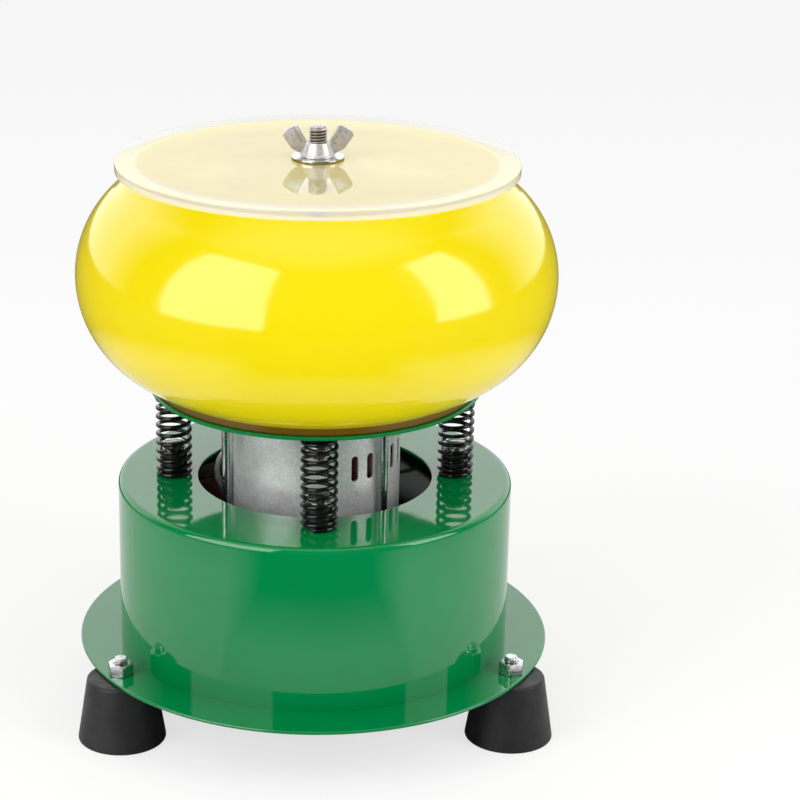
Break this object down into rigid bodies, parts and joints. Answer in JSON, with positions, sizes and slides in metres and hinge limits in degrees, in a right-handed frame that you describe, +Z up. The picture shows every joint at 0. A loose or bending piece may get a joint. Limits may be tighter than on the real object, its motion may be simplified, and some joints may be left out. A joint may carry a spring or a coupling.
{
  "type": "vibratory rock tumbler",
  "caption": "Vibratory tumbler: ring-shaped yellow bowl with a clear lid and wing nut, on a sprung plate with a motor below, over a green drum base on rubber feet.",
  "frame": {"origin": "on the drum's axis, in the plane of the three foot bottoms", "axes": "+Z up, -Y is the front with two feet beside it, +X is to the right; the third foot is at +Y"},
  "size_m": [0.206, 0.334, 0.257],
  "materials": {
    "green_enamel": "gloss baked enamel on sheet steel",
    "black_rubber": "matt moulded rubber",
    "black_nylon": "satin moulded nylon",
    "zinc_plate": "bright zinc plate",
    "rod_steel": "plain threaded steel",
    "spring_steel": "gloss black dip on spring wire",
    "yellow_polyurethane": "gloss moulded polyurethane",
    "clear_acrylic": "polished clear acrylic",
    "galvanised_sheet": "spangled galvanised sheet",
    "cast_alloy": "as-cast aluminium",
    "electrical_steel": "laminated steel, varnished",
    "winding_copper": "red enamelled copper wire",
    "bearing_steel": "ground steel",
    "weight_steel": "machined steel, oiled",
    "wire_insulation": "satin insulated wire",
    "capacitor_case": "satin epoxy case",
    "foam_pad": "foam tape",
    "cord_jacket": "satin black PVC",
    "plated_brass": "bright plated brass"
  },
  "bodies": {
    "base": {"base_drum": "green_enamel", "base_flange": "green_enamel", "foot_left": "black_rubber", "foot_right": "black_rubber", "foot_rear": "black_rubber", "foot_washers": "zinc_plate", "foot_bolts": "zinc_plate", "foot_nuts": "zinc_plate", "lower_spring_seats": "black_nylon", "lower_seat_washers": "zinc_plate", "lower_seat_bolts": "zinc_plate", "lower_seat_nuts": "zinc_plate", "run_capacitor": "capacitor_case", "capacitor_pad": "foam_pad", "capacitor_leads": "wire_insulation", "cord_grommet": "black_rubber", "cord_splice": "cord_jacket", "power_cord": "cord_jacket", "power_plug": "cord_jacket", "plug_blades": "plated_brass"},
    "side_springs": {"spring_left": "spring_steel", "spring_right": "spring_steel"},
    "end_springs": {"spring_front": "spring_steel", "spring_rear": "spring_steel"},
    "vibrating_frame": {"support_plate": "green_enamel", "upper_spring_seats": "black_nylon", "upper_seat_screws": "zinc_plate", "upper_seat_washers": "zinc_plate", "upper_seat_nuts": "zinc_plate", "motor_can": "galvanised_sheet", "motor_top_bell": "cast_alloy", "motor_bottom_bell": "cast_alloy", "motor_tie_rods": "zinc_plate", "motor_tie_nuts": "zinc_plate", "stator_core": "electrical_steel", "stator_windings": "winding_copper", "bearing_outer_rings": "bearing_steel", "bearing_balls": "bearing_steel", "motor_leads": "wire_insulation", "center_rod": "rod_steel", "rod_base_nuts": "zinc_plate", "bowl": "yellow_polyurethane", "bowl_washer": "zinc_plate", "bowl_nut": "zinc_plate"},
    "rotor": {"motor_shaft": "bearing_steel", "rotor_core": "electrical_steel", "bearing_inner_rings": "bearing_steel", "eccentric_weight": "weight_steel", "weight_set_screw": "zinc_plate"},
    "lid": {"lid": "clear_acrylic"},
    "washer": {"lid_washer": "zinc_plate"},
    "wing_nut": {"wing_nut": "zinc_plate"}
  },
  "joints": [
    {"name": "bounce", "type": "slide", "parent": "base", "child": "side_springs", "axis": [0, 0, 1], "range_m": [-0.004, 0.003], "stiffness_N_per_m": 17200, "springref_m": 0.00134, "deforming": ["spring_left", "spring_right", "spring_front", "spring_rear", "motor_leads"]},
    {"name": "rock_sideways", "type": "hinge", "parent": "side_springs", "child": "end_springs", "pos_m": [0, 0, 0.123], "axis": [0, 1, 0], "range_deg": [-2.5, 2.5], "stiffness_Nm_per_rad": 32},
    {"name": "rock_fore_aft", "type": "hinge", "parent": "end_springs", "child": "vibrating_frame", "pos_m": [0, 0, 0.123], "axis": [1, 0, 0], "range_deg": [-2.5, 2.5], "stiffness_Nm_per_rad": 32},
    {"name": "rotor_spin", "type": "hinge", "parent": "vibrating_frame", "child": "rotor", "pos_m": [0, 0, 0.096], "axis": [0, 0, 1], "continuous": true},
    {"name": "lid_lift", "type": "slide", "parent": "vibrating_frame", "child": "lid", "axis": [0, 0, 1], "range_m": [0, 0.12]},
    {"name": "washer_climb", "type": "slide", "parent": "lid", "child": "washer", "axis": [0, 0, 1], "range_m": [0, 0.016]},
    {"name": "wing_nut_turn", "type": "hinge", "parent": "washer", "child": "wing_nut", "pos_m": [0, 0, 0.2465], "axis": [0, 0, 1], "range_deg": [0, 4609]}
  ],
  "couplings": [
    {"joint": "wing_nut_turn", "follows": "washer_climb", "rad_per_m": 5026.5}
  ]
}
